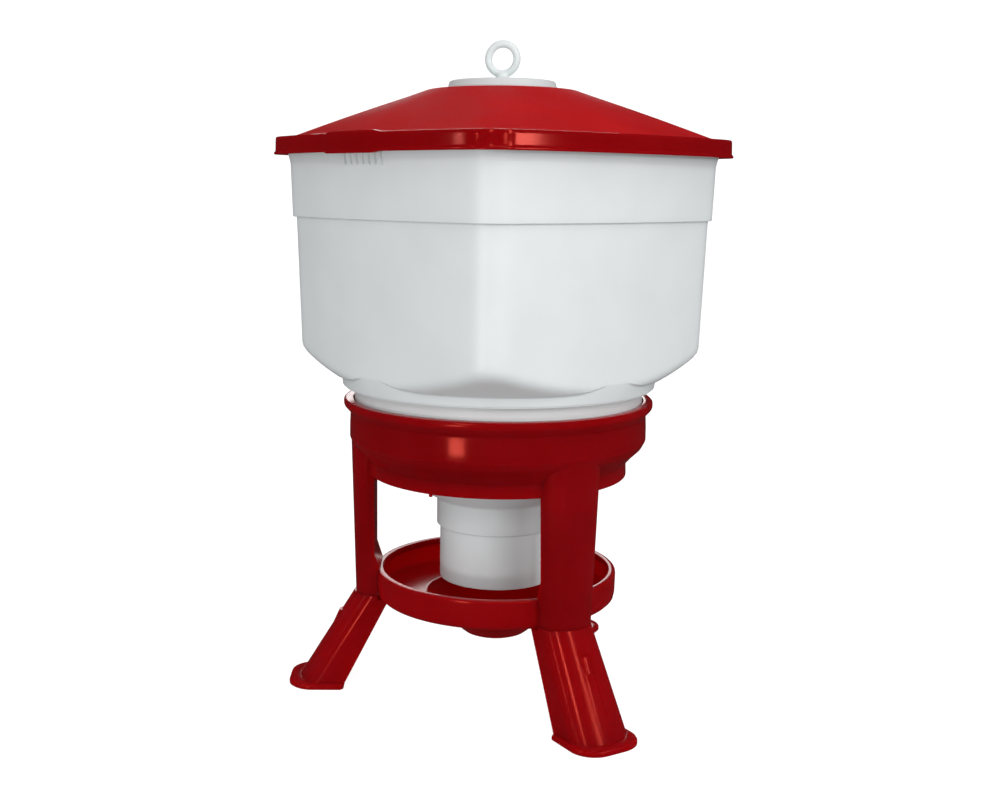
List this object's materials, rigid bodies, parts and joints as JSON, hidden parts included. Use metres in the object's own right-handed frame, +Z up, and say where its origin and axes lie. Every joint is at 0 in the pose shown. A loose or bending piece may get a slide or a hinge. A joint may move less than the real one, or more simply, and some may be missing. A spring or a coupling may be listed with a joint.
{
  "type": "poultry drinker on legs",
  "caption": "Top-filled poultry drinker: square tank with a domed lid, outlet over a round drinking dish, on a three-legged stand.",
  "frame": {"origin": "on the floor, under the middle of the whole object's bounding box; the drinker's own axis is 13.2 mm behind it", "axes": "+Z up along the drinker's axis, -Y towards the front leg, +X to the right"},
  "size_m": [0.4326, 0.4516, 0.7175],
  "materials": {
    "stand_red": "glossy red polypropylene",
    "lid_red": "red polypropylene, fine grain on top",
    "white": "satin",
    "natural": "natural, slightly clear",
    "steel": "satin",
    "rubber": "matt"
  },
  "bodies": {
    "stand": {"support_ring": "stand_red", "drinking_dish": "stand_red", "leg_front": "stand_red", "leg_left": "stand_red", "leg_right": "stand_red"},
    "tank": {"tank": "white", "outlet_cylinder": "white", "outlet_seal": "rubber", "rod_guide": "white"},
    "lid": {"lid": "lid_red", "lid_gasket": "rubber"},
    "cap": {"cap": "white", "cap_seal": "rubber", "shaft_seal": "rubber"},
    "valve": {"pull_ring": "natural", "rod_pin": "steel", "valve_rod": "steel", "valve_plug": "white", "plug_seal": "rubber", "plug_nut": "steel"}
  },
  "joints": [
    {"name": "tank_lift", "type": "slide", "parent": "stand", "child": "tank", "axis": [0, 0, 1], "range_m": [0, 0.25]},
    {"name": "lid_lift", "type": "slide", "parent": "tank", "child": "lid", "axis": [0, 0, 1], "range_m": [0, 0.4]},
    {"name": "cap_lift", "type": "slide", "parent": "lid", "child": "cap", "axis": [0, 0, 1], "range_m": [0, 0.1]},
    {"name": "valve_pull", "type": "slide", "parent": "cap", "child": "valve", "axis": [0, 0, 1], "range_m": [0, 0.025]}
  ]
}
